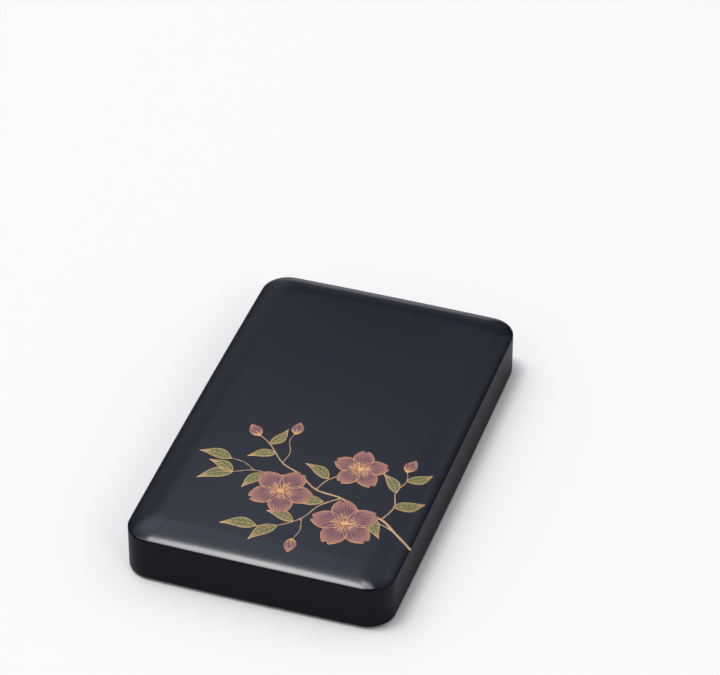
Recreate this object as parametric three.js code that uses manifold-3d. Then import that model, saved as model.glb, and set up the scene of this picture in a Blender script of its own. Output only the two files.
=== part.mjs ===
import * as THREE from 'three';
import { mergeVertices } from 'three/addons/utils/BufferGeometryUtils.js';
import Module from 'manifold-3d';

// A small lacquered writing box: an overhanging lid, a body, and a lift-out tray of writing tools.
// Sizes are in millimetres. +Z is up and -Y is the front. The origin is on the table, under the
// middle of the box.

// Lid, outside
const lidWidth = 130;
const lidLength = 210;
const lidSideHeight = 22.2;
const lidWall = 3.2;
const cornerRadius = 13.2;
const longSideBow = 0.4;
const shortSideBow = 0.36;
const rimGap = 1;
const rimEasing = 0.7;

// Crowned top of the lid
const borderDepth = 2.4;
const borderWidth = 8;
const coveWidth = 3;
const topThickness = 3.2;
const rollWidth = 15;
const rollRise = 3.6;
const crownRise = 1.2;
const cornerSoftness = 0.55;
const shoulderEasing = 0.4;

// Body
const lidClearance = 0.5;
const lidSeat = 0.25;
const bodyWall = 3;
const bodyEasing = 0.6;
const floorThickness = 3.2;
const rebateDepth = 1.2;
const footEasing = 1;
const glueLine = 0.1;

// Tray
const trayClearance = 0.3;
const traySeat = 0.25;
const trayFloorThickness = 2;
const trayWall = 2.4;
const trayRimHeight = 12;
const trayEasing = 0.4;
const notchWidth = 24;
const notchDepth = 6;
const dividerThickness = 2;
const dividerHeight = 9.5;
const brushTroughWidth = 22;
const inkTroughWidth = 18;
const wellBoardThickness = 5;
const wellBoardRadius = 1;
const wellClearance = 0.3;
const toolSeat = 0.25;

// Inkstone
const stoneSideMargin = 5.2;
const stoneFrontMargin = 15;
const stoneHeight = 12;
const stoneRadius = 5;
const stoneEasing = 0.9;
const carvingRim = 5;
const carvingRadius = 8;
const landFrontDepth = 1.2;
const landBackDepth = 2.6;
const pondDepth = 7.5;
const pondLength = 32;
const pondSetback = 8;
const pondSpread = 68;

// Water dropper
const dropperWidth = 40;
const dropperLength = 42;
const dropperRadius = 5;
const dropperPanHeight = 9.8;
const dropperWall = 1;
const dropperTopThickness = 1.2;
const dropperEasing = 0.35;
const airHoleRadius = 1.3;
const spoutBore = 1.1;
const spoutNeck = 1.9;
const spoutFoot = 2.9;
const spoutFootThickness = 0.3;
const spoutHeight = 1.5;
const spoutLip = 0.2;
const spoutCornerMargin = 9;
const wellGap = 20;
const dropperBackMargin = 21.48;

// Ink stick
const inkWidth = 14;
const inkLength = 64;
const inkHeight = 8.5;
const inkRadius = 2;
const inkEasing = 1;
const inkPanelBorder = 2.2;
const inkPanelDepth = 0.4;
const inkFrontMargin = 46;

// Brushes and their rests
const capFloorGap = 0.8;
const brushTailMargin = 4;
const restThickness = 5;
const restCapGap = 3.6;
const rearRestPlace = 20;
const restEasing = 0.3;
const brushFit = 0.3;
const jointFit = 0.1;
const largeBrush = {
  name: 'large_brush',
  handleRadius: 3.2,
  handleLength: 88,
  hairLength: 28,
};
const smallBrush = {
  name: 'small_brush',
  handleRadius: 2.5,
  handleLength: 86,
  hairLength: 21,
};
const tailCapLength = 4;
const tailCapRounding = 0.25;
const tailPegRadius = 1.1;
const tailPegLength = 5;
const ferruleThickness = 0.4;
const ferruleStep = 0.2;
const ferruleLength = 12;
const spigotLength = 5;
const hairRootLength = 5;
const tuftShares = [[0.22, 0.1], [0.62, 0.35], [0.92, 0.7]];
const capWall = 0.9;
const capLap = 5;
const capTipRoom = 5.5;
const capEndThickness = 1.6;
const capEndRounding = 0.8;

// Facets
const cornerSteps = 7;
const sideSteps = 4;
const rollSteps = 6;
const coveSteps = 3;
const easingSteps = 2;
const slabArcSteps = 5;
const roundSteps = 16;

// Heights and places that follow from the sizes above
const shoulderHeight = rimGap + lidSideHeight;
const ledgeHeight = shoulderHeight - borderDepth;
const bodyInset = lidWall + lidClearance;
const trayInset = bodyInset + bodyWall + trayClearance;
const trayWidth = lidWidth - 2 * (trayInset + longSideBow);
const trayLength = lidLength - 2 * (trayInset + shortSideBow);
const trayRadius = cornerRadius - trayInset;
const trayBase = floorThickness + traySeat;
const trayFloorTop = trayBase + trayFloorThickness;
const fittingBase = trayFloorTop + glueLine;
const toolBase = trayFloorTop + toolSeat;
const trayInnerWidth = trayWidth - 2 * trayWall;
const trayInnerLength = trayLength - 2 * trayWall;
const leftDividerX = -trayInnerWidth / 2 + brushTroughWidth;
const rightDividerX = trayInnerWidth / 2 - inkTroughWidth - dividerThickness;
const bayWidth = rightDividerX - leftDividerX - dividerThickness;
const bayX = (leftDividerX + dividerThickness + rightDividerX) / 2;
const dropperY = trayInnerLength / 2 - dropperBackMargin - dropperLength / 2;
const stoneBack = dropperY - dropperLength / 2 - wellGap;
const stoneFront = -trayInnerLength / 2 + stoneFrontMargin;
const stoneY = (stoneFront + stoneBack) / 2;
const stoneLength = stoneBack - stoneFront;
const stoneWidth = bayWidth - 2 * stoneSideMargin;

const wasm = await Module();
wasm.setup();

const lacquer = { color: 0x0b0c10, roughness: 0.14, metalness: 0 };
const innerLacquer = { color: 0x0d0d0f, roughness: 0.22, metalness: 0 };
const slate = { color: 0x2b2d31, roughness: 0.62, metalness: 0 };
const bronze = { color: 0x9a7440, roughness: 0.38, metalness: 1 };
const ink = { color: 0x151413, roughness: 0.5, metalness: 0 };
const bamboo = { color: 0xb98f52, roughness: 0.45, metalness: 0 };
const horn = { color: 0x1d1815, roughness: 0.25, metalness: 0 };
const hair = { color: 0xd8c8a8, roughness: 0.85, metalness: 0 };

// One named piece with a material of its own.
function piece(name, geometry, finish) {
  const mesh = new THREE.Mesh(geometry, new THREE.MeshStandardMaterial(finish));
  mesh.name = name;
  return mesh;
}

// Points of a rounded rectangle, counterclockwise, with sides that bow outwards in the middle.
function bowedOutline(width, length, radius) {
  const points = [];
  const straightX = width / 2 - longSideBow - radius;
  const straightY = length / 2 - shortSideBow - radius;
  const corners = [[1, 1], [-1, 1], [-1, -1], [1, -1]];
  corners.forEach(([sideX, sideY], corner) => {
    for (let step = 0; step <= cornerSteps; step += 1) {
      const angle = (corner + step / cornerSteps) * Math.PI / 2;
      const x = sideX * straightX + radius * Math.cos(angle);
      const y = sideY * straightY + radius * Math.sin(angle);
      points.push([x, y]);
    }
    for (let step = 1; step < sideSteps; step += 1) {
      const way = 1 - 2 * step / sideSteps;
      const bulge = 1 - way ** 2;
      const alongEnd = corner % 2 === 0;
      const x = alongEnd ? sideX * straightX * way : sideX * (width / 2 - longSideBow * (1 - bulge));
      const y = alongEnd ? sideY * (length / 2 - shortSideBow * (1 - bulge)) : sideY * straightY * way;
      points.push([x, y]);
    }
  });
  return points;
}

// The lid's outline moved inwards. Softness is how much of the inset the corner radius loses.
function insetOutline(inset, softness = 1) {
  const radius = cornerRadius - softness * inset;
  return bowedOutline(lidWidth - 2 * inset, lidLength - 2 * inset, radius);
}

function levelRing(inset, height) {
  return insetOutline(inset).map(([x, y]) => [x, y, height]);
}

// A skin through rings of points. It is closed into a loop, or by a fan at each end.
function loft(rings, ends = null) {
  const count = rings[0].length;
  const vertices = rings.flat();
  const index = [];
  const bands = ends ? rings.length - 1 : rings.length;
  for (let band = 0; band < bands; band += 1) {
    const lower = band * count;
    const upper = ((band + 1) % rings.length) * count;
    for (let here = 0; here < count; here += 1) {
      const next = (here + 1) % count;
      index.push(lower + here, lower + next, upper + next);
      index.push(lower + here, upper + next, upper + here);
    }
  }
  if (ends) {
    const last = (rings.length - 1) * count;
    const [first, final] = [vertices.length, vertices.length + 1];
    vertices.push(...ends);
    for (let here = 0; here < count; here += 1) {
      const next = (here + 1) % count;
      index.push(first, next, here);
      index.push(final, last + here, last + next);
    }
  }
  const geometry = new THREE.BufferGeometry();
  geometry.setAttribute('position', new THREE.Float32BufferAttribute(vertices.flat(), 3));
  geometry.setIndex(index);
  geometry.computeVertexNormals();
  return geometry;
}

// A rounded edge from an upright face at an inset to a level face at a height.
function easedEdge(inset, height, easing, inwards, upwards) {
  const points = [];
  const steps = easing > 0 ? easingSteps : 0;
  for (let step = 0; step <= steps; step += 1) {
    const angle = steps ? step / steps * Math.PI / 2 : 0;
    const aside = inwards * easing * (1 - Math.cos(angle));
    const along = upwards * easing * (1 - Math.sin(angle));
    points.push([inset + aside, height + along]);
  }
  return points;
}

// An upright ring wall between two insets of the lid's outline.
function ringWall(outerInset, innerInset, bottom, top, bottomEasing, topEasing) {
  const profile = [
    ...easedEdge(outerInset, bottom, bottomEasing, 1, 1).toReversed(),
    ...easedEdge(outerInset, top, topEasing, 1, -1),
    ...easedEdge(innerInset, top, topEasing, -1, -1).toReversed(),
    ...easedEdge(innerInset, bottom, bottomEasing, -1, 1),
  ];
  return loft(profile.map(([inset, height]) => levelRing(inset, height)));
}

// Height of the lid's top above its shoulder: a rolled border that runs into a low crown.
function domeHeight(x, y, inset) {
  const reach = Math.min(inset / rollWidth, 1);
  const roll = rollRise * (1 - (1 - reach) ** 2);
  const across = 1 - (x / (lidWidth / 2)) ** 2;
  const along = 1 - (y / (lidLength / 2)) ** 2;
  return roll + crownRise * across * along;
}

// A ring on the top of the lid, or under it at a depth. Past the roll the rings shrink to the middle.
function domeRing(inset, scale = 1, depth = 0) {
  return insetOutline(inset, cornerSoftness).map(([x, y]) => [
    x * scale,
    y * scale,
    shoulderHeight + domeHeight(x * scale, y * scale, inset) - depth,
  ]);
}

// The lid's top board: a flat border that seats on the side frame, a hollowed ceiling, an upright
// edge, an eased shoulder, and the crown.
function lidTop() {
  const fieldScales = [0.25, 0.5, 0.75];
  const hollowInset = borderWidth + coveWidth;
  const ceiling = fieldScales.map((scale) => domeRing(rollWidth, scale, topThickness));
  ceiling.push(domeRing(rollWidth, 1, topThickness));
  const coveTop = domeRing(hollowInset, 1, topThickness);
  const coveFoot = insetOutline(borderWidth, cornerSoftness);
  const cove = [];
  for (let step = coveSteps; step >= 0; step -= 1) {
    const angle = step / coveSteps * Math.PI / 2;
    const rise = Math.sin(angle);
    const reach = 1 - Math.cos(angle);
    cove.push(coveTop.map(([x, y, z], i) => [
      coveFoot[i][0] + (x - coveFoot[i][0]) * reach,
      coveFoot[i][1] + (y - coveFoot[i][1]) * reach,
      ledgeHeight + (z - ledgeHeight) * rise,
    ]));
  }
  const edge = [levelRing(0, ledgeHeight), levelRing(0, shoulderHeight - shoulderEasing)];
  const roll = [];
  for (let step = 0; step <= rollSteps; step += 1) {
    const way = step / rollSteps;
    roll.push(domeRing(shoulderEasing + (rollWidth - shoulderEasing) * way));
  }
  const field = fieldScales.toReversed().map((scale) => domeRing(rollWidth, scale));
  const middle = shoulderHeight + domeHeight(0, 0, rollWidth);
  const ends = [[0, 0, middle - topThickness], [0, 0, middle]];
  return loft([...ceiling, ...cove, ...edge, ...roll, ...field], ends);
}

// The body's floor board, rebated all round to take the body's walls.
function bodyFloor() {
  const rebateHeight = floorThickness - rebateDepth;
  const tongueInset = bodyInset + bodyWall + glueLine;
  const rings = [
    levelRing(bodyInset + footEasing, 0),
    levelRing(bodyInset, footEasing),
    levelRing(bodyInset, rebateHeight),
    levelRing(tongueInset, rebateHeight),
    levelRing(tongueInset, floorThickness),
  ];
  return loft(rings, [[0, 0, 0], [0, 0, floorThickness]]);
}

// A rounded rectangle about the origin, drawn counterclockwise as a shape or as a hole's path.
function roundedShape(width, length, radius, Outline = THREE.Shape) {
  const [x, y] = [width / 2, length / 2];
  const shape = new Outline();
  shape.moveTo(x, -y + radius);
  shape.lineTo(x, y - radius);
  shape.absarc(x - radius, y - radius, radius, 0, Math.PI / 2);
  shape.lineTo(-x + radius, y);
  shape.absarc(-x + radius, y - radius, radius, Math.PI / 2, Math.PI);
  shape.lineTo(-x, -y + radius);
  shape.absarc(-x + radius, -y + radius, radius, Math.PI, Math.PI * 1.5);
  shape.lineTo(x - radius, -y);
  shape.absarc(x - radius, -y + radius, radius, Math.PI * 1.5, Math.PI * 2);
  return shape;
}

// An outline raised to a thickness from z = 0, with its upper and lower edges eased.
function slab(shape, thickness, easing, bevelSegments = 1) {
  const geometry = new THREE.ExtrudeGeometry(shape, {
    depth: thickness - 2 * easing,
    curveSegments: slabArcSteps,
    bevelEnabled: easing > 0,
    bevelThickness: easing,
    bevelSize: easing,
    bevelOffset: -easing,
    bevelSegments,
  });
  return geometry.translate(0, 0, easing);
}

// A closed geometry as a solid that can be joined and cut, and back again.
function toSolid(geometry) {
  const bare = geometry.clone();
  bare.deleteAttribute('normal');
  bare.deleteAttribute('uv');
  const merged = mergeVertices(bare);
  const vertProperties = merged.attributes.position.array;
  const triVerts = new Uint32Array(merged.index.array);
  return new wasm.Manifold(new wasm.Mesh({ numProp: 3, vertProperties, triVerts }));
}

function toGeometry(solid) {
  const { vertProperties, triVerts } = solid.getMesh();
  const geometry = new THREE.BufferGeometry();
  geometry.setAttribute('position', new THREE.BufferAttribute(vertProperties, 3));
  geometry.setIndex(new THREE.BufferAttribute(triVerts, 1));
  geometry.computeVertexNormals();
  return geometry;
}

// The tray's rim, with a curved notch for a fingertip in the middle of each end.
function trayRim() {
  const shape = roundedShape(trayWidth, trayLength, trayRadius);
  const innerRadius = trayRadius - trayWall;
  shape.holes.push(roundedShape(trayInnerWidth, trayInnerLength, innerRadius, THREE.Path));
  const rim = toSolid(slab(shape, trayRimHeight, trayEasing));
  const notchRadius = ((notchWidth / 2) ** 2 + notchDepth ** 2) / (2 * notchDepth);
  const cutLength = 4 * trayWall;
  const notches = [-1, 1].map((end) => {
    const cutter = new THREE.CylinderGeometry(notchRadius, notchRadius, cutLength, 4 * roundSteps);
    const height = trayRimHeight - notchDepth + notchRadius;
    cutter.translate(0, end * (trayLength - trayWall) / 2, height);
    return toSolid(cutter);
  });
  return toGeometry(rim.subtract(notches[0]).subtract(notches[1]));
}

// A thin upright board along the tray, with a round upper edge.
function divider() {
  const shape = new THREE.Shape();
  const length = trayInnerLength - 2 * glueLine;
  shape.moveTo(0, 0);
  shape.lineTo(dividerThickness, 0);
  const radius = dividerThickness / 2;
  shape.lineTo(dividerThickness, dividerHeight - radius);
  shape.absarc(radius, dividerHeight - radius, radius, 0, Math.PI);
  const run = { depth: length, curveSegments: slabArcSteps, bevelEnabled: false };
  const geometry = new THREE.ExtrudeGeometry(shape, run);
  return geometry.rotateX(Math.PI / 2).translate(0, length / 2, 0);
}

// The board round the inkstone and the water dropper, with a well cut through it for each.
function wellBoard() {
  const width = bayWidth - 2 * glueLine;
  const length = trayInnerLength - 2 * glueLine;
  const shape = roundedShape(width, length, wellBoardRadius);
  const wells = [
    { y: stoneY, width: stoneWidth, length: stoneLength, radius: stoneRadius },
    { y: dropperY, width: dropperWidth, length: dropperLength, radius: dropperRadius },
  ];
  for (const well of wells) {
    const hole = new THREE.Path();
    const outline = roundedShape(
      well.width + 2 * wellClearance,
      well.length + 2 * wellClearance,
      well.radius + wellClearance,
      THREE.Path,
    );
    const place = new THREE.Vector2(0, well.y);
    hole.setFromPoints(outline.getPoints(slabArcSteps).map((point) => point.add(place)));
    shape.holes.push(hole);
  }
  return slab(shape, wellBoardThickness, trayEasing);
}

// Where a brush's handle and cap begin and end along Y from its tail, and how thick they are.
function brushPlan({ handleRadius, handleLength }) {
  const handleStart = -tailCapLength - jointFit;
  const handleEnd = handleStart - handleLength;
  const spigotStart = handleEnd + spigotLength;
  const capMouth = spigotStart + capLap;
  const ferruleRadius = handleRadius + ferruleStep;
  const capBore = ferruleRadius + brushFit;
  const capRadius = capBore + capWall;
  return { handleStart, handleEnd, spigotStart, capMouth, ferruleRadius, capBore, capRadius };
}

// The two brushes lie in their trough with equal gaps beside and between their caps. The front
// rest stands just behind the mouths of the caps.
const largePlan = brushPlan(largeBrush);
const smallPlan = brushPlan(smallBrush);
const capGap = (brushTroughWidth - 2 * largePlan.capRadius - 2 * smallPlan.capRadius) / 3;
const largeBrushX = leftDividerX - brushTroughWidth + capGap + largePlan.capRadius;
const smallBrushX = leftDividerX - capGap - smallPlan.capRadius;
const brushAxisHeight = Math.max(largePlan.capRadius, smallPlan.capRadius) + capFloorGap;
const brushAxisZ = trayFloorTop + brushAxisHeight;
const brushTailY = trayInnerLength / 2 - brushTailMargin;
const rearMouth = Math.max(largePlan.capMouth, smallPlan.capMouth);
const frontRestY = brushTailY + rearMouth + restCapGap + restThickness / 2;
const rearRestY = brushTailY - rearRestPlace;

// A bar across the brush trough, with a half-round notch for each brush.
function brushRest() {
  const halfWidth = brushTroughWidth / 2 - glueLine;
  const top = brushAxisHeight - glueLine;
  const troughX = leftDividerX - brushTroughWidth / 2;
  const notches = [[smallBrushX, smallBrush], [largeBrushX, largeBrush]];
  const shape = new THREE.Shape();
  shape.moveTo(-halfWidth, 0);
  shape.lineTo(halfWidth, 0);
  shape.lineTo(halfWidth, top);
  for (const [brushX, kind] of notches) {
    const radius = kind.handleRadius + brushFit;
    shape.lineTo(brushX - troughX + radius, top);
    shape.absarc(brushX - troughX, top, radius, 0, -Math.PI, true);
  }
  shape.lineTo(-halfWidth, top);
  const bar = slab(shape, restThickness, restEasing);
  return bar.rotateX(Math.PI / 2).translate(troughX, restThickness / 2, 0);
}

// The inkstone: a sloping land for grinding and a deeper pond for water, carved within a rim.
function inkstone() {
  const outline = roundedShape(stoneWidth, stoneLength, stoneRadius);
  const block = toSolid(slab(outline, stoneHeight, stoneEasing, easingSteps));
  const carvedWidth = stoneWidth - 2 * carvingRim;
  const carvedLength = stoneLength - 2 * carvingRim;
  const plan = toSolid(slab(roundedShape(carvedWidth, carvedLength, carvingRadius), 2 * stoneHeight, 0));
  const front = -carvedLength / 2;
  const back = carvedLength / 2;
  const slope = new THREE.Shape();
  slope.moveTo(front, stoneHeight - landFrontDepth);
  slope.lineTo(back, stoneHeight - landBackDepth);
  slope.lineTo(back, 2 * stoneHeight);
  slope.lineTo(front, 2 * stoneHeight);
  const wedge = new THREE.ExtrudeGeometry(slope, { depth: carvedWidth, bevelEnabled: false });
  wedge.rotateX(Math.PI / 2).rotateZ(Math.PI / 2).translate(-carvedWidth / 2, 0, 0);
  const pond = new THREE.SphereGeometry(1, 2 * roundSteps, roundSteps);
  pond.rotateX(Math.PI / 2).scale(pondSpread / 2, pondLength - pondSetback, pondDepth);
  pond.translate(0, back - pondSetback, stoneHeight);
  const carving = toSolid(wedge).add(toSolid(pond)).intersect(plan);
  return toGeometry(block.subtract(carving));
}

// The dropper's pan, hollow and open at the top.
function dropperPan() {
  const outline = roundedShape(dropperWidth, dropperLength, dropperRadius);
  const hollow = roundedShape(
    dropperWidth - 2 * dropperWall,
    dropperLength - 2 * dropperWall,
    dropperRadius - dropperWall,
  );
  const outer = slab(outline, dropperPanHeight, dropperEasing);
  const inner = slab(hollow, dropperPanHeight, dropperEasing);
  inner.translate(0, 0, dropperWall);
  return toGeometry(toSolid(outer).subtract(toSolid(inner)));
}

// Where the spout stands on the dropper's top, measured from its middle.
const spoutX = dropperWidth / 2 - spoutCornerMargin;
const spoutY = -dropperLength / 2 + spoutCornerMargin;

// The dropper's top, with a hole in the middle for a fingertip's air and one for the spout.
function dropperTop() {
  const shape = roundedShape(dropperWidth, dropperLength, dropperRadius);
  const airHole = new THREE.Path();
  airHole.absarc(0, 0, airHoleRadius, 0, Math.PI * 2);
  const spoutHole = new THREE.Path();
  spoutHole.absarc(spoutX, spoutY, spoutNeck + jointFit, 0, Math.PI * 2);
  shape.holes.push(airHole, spoutHole);
  return slab(shape, dropperTopThickness, dropperEasing);
}

// A turned piece on the Y axis, from pairs of radius and place along the axis.
function turned(profile) {
  const points = profile.map(([radius, along]) => new THREE.Vector2(radius, along));
  return new THREE.LatheGeometry(points, roundSteps);
}

// The spout's neck stands in its hole in the top, and its foot laps over the rim of that hole.
function dropperSpout() {
  const spout = turned([
    [spoutBore, -dropperTopThickness],
    [spoutNeck, -dropperTopThickness],
    [spoutNeck, jointFit],
    [spoutFoot, jointFit],
    [spoutFoot, jointFit + spoutFootThickness],
    [spoutNeck, spoutHeight - spoutLip],
    [spoutNeck - spoutLip, spoutHeight],
    [spoutBore, spoutHeight],
    [spoutBore, -dropperTopThickness],
  ]);
  return spout.rotateX(Math.PI / 2);
}

// The ink stick, pressed with a sunk panel along its upper face.
function inkStick() {
  const bar = slab(roundedShape(inkWidth, inkLength, inkRadius), inkHeight, inkEasing, easingSteps);
  const panel = slab(
    roundedShape(inkWidth - 2 * inkPanelBorder, inkLength - 2 * inkPanelBorder, inkRadius),
    inkHeight,
    0,
  );
  panel.translate(0, 0, inkHeight - inkPanelDepth);
  return toGeometry(toSolid(bar).subtract(toSolid(panel)));
}

// One brush, lying along Y with its tail at the origin and its cap towards the front.
function brush(kind) {
  const { name, handleRadius, hairLength } = kind;
  const { handleStart, handleEnd, spigotStart, capMouth } = brushPlan(kind);
  const { ferruleRadius, capBore, capRadius } = brushPlan(kind);
  const group = new THREE.Group();
  const ferruleBore = ferruleRadius - ferruleThickness - jointFit;
  const ferruleEnd = spigotStart - jointFit - ferruleLength;
  const hairStart = ferruleEnd + hairRootLength;
  const hairTip = ferruleEnd - hairLength;
  const capInnerEnd = hairTip - capTipRoom;
  const capEnd = capInnerEnd - capEndThickness;

  const tailCap = turned([
    [0, handleStart - tailPegLength],
    [tailPegRadius, handleStart - tailPegLength],
    [tailPegRadius, handleStart + jointFit],
    [handleRadius, handleStart + jointFit],
    [handleRadius, -tailCapLength / 2],
    [handleRadius * (1 - tailCapRounding), -tailCapLength * tailCapRounding / 2],
    [0, 0],
  ]);
  const handle = turned([
    [0, handleEnd],
    [ferruleBore - jointFit, handleEnd],
    [ferruleBore - jointFit, spigotStart],
    [handleRadius, spigotStart],
    [handleRadius, handleStart],
    [tailPegRadius + jointFit, handleStart],
    [tailPegRadius + jointFit, handleStart - tailPegLength - jointFit],
    [0, handleStart - tailPegLength - jointFit],
  ]);
  const ferrule = turned([
    [ferruleBore, ferruleEnd],
    [ferruleRadius, ferruleEnd],
    [ferruleRadius, spigotStart - jointFit],
    [ferruleBore, spigotStart - jointFit],
    [ferruleBore, ferruleEnd],
  ]);
  const tuft = turned([
    [0, hairTip],
    ...tuftShares.map(([width, along]) => [handleRadius * width, hairTip + hairLength * along]),
    [ferruleBore - jointFit, ferruleEnd],
    [ferruleBore - jointFit, hairStart],
    [0, hairStart],
  ]);
  const cap = turned([
    [0, capEnd],
    [capRadius - capEndRounding, capEnd],
    [capRadius, capEnd + capEndRounding],
    [capRadius, capMouth],
    [capBore, capMouth],
    [capBore, capInnerEnd],
    [0, capInnerEnd],
  ]);
  group.add(piece(`${name}_tail_cap`, tailCap, horn));
  group.add(piece(`${name}_handle`, handle, bamboo));
  group.add(piece(`${name}_ferrule`, ferrule, horn));
  group.add(piece(`${name}_hair`, tuft, hair));
  group.add(piece(`${name}_cap`, cap, bamboo));
  return group;
}

// The lid: its top board on its side frame, glued face to face.
function lid() {
  const frameTop = ledgeHeight - glueLine;
  const group = new THREE.Group();
  group.add(piece('lid_top', lidTop(), lacquer));
  group.add(piece('lid_sides', ringWall(0, lidWall, rimGap, frameTop, rimEasing, 0), lacquer));
  return group;
}

// The body that the lid covers: the walls stand in the rebate of the floor board.
function body() {
  const wallBase = floorThickness - rebateDepth + glueLine;
  const wallTop = ledgeHeight - lidSeat;
  const walls = ringWall(bodyInset, bodyInset + bodyWall, wallBase, wallTop, 0, bodyEasing);
  const group = new THREE.Group();
  group.add(piece('body_floor', bodyFloor(), innerLacquer));
  group.add(piece('body_sides', walls, innerLacquer));
  return group;
}

// The lift-out tray: a floor, a rim, two dividers, and the board with the wells.
function tray() {
  const group = new THREE.Group();
  const floor = slab(roundedShape(trayWidth, trayLength, trayRadius), trayFloorThickness, trayEasing);
  const rim = piece('tray_rim', trayRim(), innerLacquer);
  const leftDivider = piece('left_divider', divider(), innerLacquer);
  const rightDivider = piece('right_divider', divider(), innerLacquer);
  const board = piece('well_board', wellBoard(), innerLacquer);
  const trayFloor = piece('tray_floor', floor, innerLacquer);
  trayFloor.position.set(0, 0, trayBase);
  rim.position.set(0, 0, fittingBase);
  leftDivider.position.set(leftDividerX, 0, fittingBase);
  rightDivider.position.set(rightDividerX, 0, fittingBase);
  board.position.set(bayX, 0, fittingBase);
  group.add(trayFloor, rim, leftDivider, rightDivider, board);
  return group;
}

// The two rests and the brushes that lie in them.
function brushes() {
  const group = new THREE.Group();
  for (const [name, y] of [['front_brush_rest', frontRestY], ['rear_brush_rest', rearRestY]]) {
    const rest = piece(name, brushRest(), innerLacquer);
    rest.position.set(0, y, fittingBase);
    group.add(rest);
  }
  for (const [x, kind] of [[largeBrushX, largeBrush], [smallBrushX, smallBrush]]) {
    const one = brush(kind);
    one.position.set(x, brushTailY, brushAxisZ);
    group.add(one);
  }
  return group;
}

// The inkstone and the water dropper in their wells, and the ink stick in its trough.
function tools() {
  const group = new THREE.Group();
  const stone = piece('inkstone', inkstone(), slate);
  stone.position.set(bayX, stoneY, toolBase);
  const dropper = new THREE.Group();
  const panTop = dropperPanHeight + glueLine;
  const top = piece('dropper_top', dropperTop(), bronze);
  const spout = piece('dropper_spout', dropperSpout(), bronze);
  top.position.set(0, 0, panTop);
  spout.position.set(spoutX, spoutY, panTop + dropperTopThickness);
  dropper.add(piece('dropper_pan', dropperPan(), bronze), top, spout);
  dropper.position.set(bayX, dropperY, toolBase);
  const stick = piece('ink_stick', inkStick(), ink);
  const stickX = rightDividerX + dividerThickness + inkTroughWidth / 2;
  stick.position.set(stickX, -trayInnerLength / 2 + inkFrontMargin + inkLength / 2, toolBase);
  group.add(stone, dropper, stick);
  return group;
}

const writingBox = new THREE.Group();
writingBox.add(body(), tray(), brushes(), tools(), lid());

export default writingBox;
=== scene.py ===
import random
from math import cos, hypot, pi, radians, sin, sqrt, tan, tau

import bmesh
import bpy
from mathutils import Matrix, Vector


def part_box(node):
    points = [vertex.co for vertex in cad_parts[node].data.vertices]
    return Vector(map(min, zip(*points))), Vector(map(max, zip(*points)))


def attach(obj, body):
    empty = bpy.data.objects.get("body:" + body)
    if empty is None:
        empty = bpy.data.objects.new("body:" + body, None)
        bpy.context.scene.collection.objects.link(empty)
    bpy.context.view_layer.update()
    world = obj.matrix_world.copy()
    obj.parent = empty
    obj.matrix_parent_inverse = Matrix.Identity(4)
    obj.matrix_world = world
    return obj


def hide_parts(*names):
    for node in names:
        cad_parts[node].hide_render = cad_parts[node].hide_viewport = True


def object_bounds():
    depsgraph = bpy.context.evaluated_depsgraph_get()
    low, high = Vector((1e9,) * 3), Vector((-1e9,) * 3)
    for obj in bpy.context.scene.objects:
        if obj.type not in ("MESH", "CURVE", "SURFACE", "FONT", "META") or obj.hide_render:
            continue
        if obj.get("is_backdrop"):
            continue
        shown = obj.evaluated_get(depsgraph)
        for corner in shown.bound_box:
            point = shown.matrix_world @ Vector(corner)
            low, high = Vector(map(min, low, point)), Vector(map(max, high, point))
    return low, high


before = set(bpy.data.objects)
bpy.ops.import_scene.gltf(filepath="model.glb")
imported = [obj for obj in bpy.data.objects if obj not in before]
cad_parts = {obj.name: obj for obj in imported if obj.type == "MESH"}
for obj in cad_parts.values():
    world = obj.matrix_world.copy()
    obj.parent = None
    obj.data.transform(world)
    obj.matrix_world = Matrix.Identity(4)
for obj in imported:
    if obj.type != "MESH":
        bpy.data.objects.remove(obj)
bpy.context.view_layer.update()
mm = 0.001

# The body of the box
# Thin boards under one skin of black lacquer, so that no joint shows. Its edges are worn soft, and the
# lid slips down over it until only a dark line is left at the foot.


def box_of(node):
    """The lowest and the highest corner of a node, in millimetres."""
    return [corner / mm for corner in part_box(node)]


lid_low, lid_high = box_of("lid_sides")
lid_width = lid_high.x - lid_low.x
lid_length = lid_high.y - lid_low.y
lid_bow = (0.4, 0.36)
lid_radius = 13.2
body_low, body_high = box_of("body_sides")
body_inset = body_low.x - lid_low.x
body_top = body_high.z
body_foot = box_of("body_floor")[0].z
body_floor_top = box_of("body_floor")[1].z
body_wall = 3.0
body_easing = 0.6
foot_rounding = 1.0
inner_fillet = 0.5
inwards, outwards = (1, 0), (-1, 0)
upwards, downwards = (0, 1), (0, -1)


def start_clean():
    """Leaves nothing selected, because a tool works on all that is, and picks corners in edit mode."""
    bpy.ops.object.select_all(action="DESELECT")
    bpy.context.tool_settings.mesh_select_mode = (True, False, False)


def pick(piece):
    start_clean()
    piece.select_set(True)
    bpy.context.view_layer.objects.active = piece


def named(name):
    """The piece that a tool has just made, with its name."""
    made = bpy.context.object
    made.name = made.data.name = name
    return made


def modify(piece, kind, **settings):
    """Applies a modifier to a piece."""
    pick(piece)
    bpy.ops.object.modifier_add(type=kind)
    modifier = piece.modifiers[-1]
    for name, value in settings.items():
        setattr(modifier, name, value)
    bpy.ops.object.modifier_apply(modifier=modifier.name)


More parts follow.
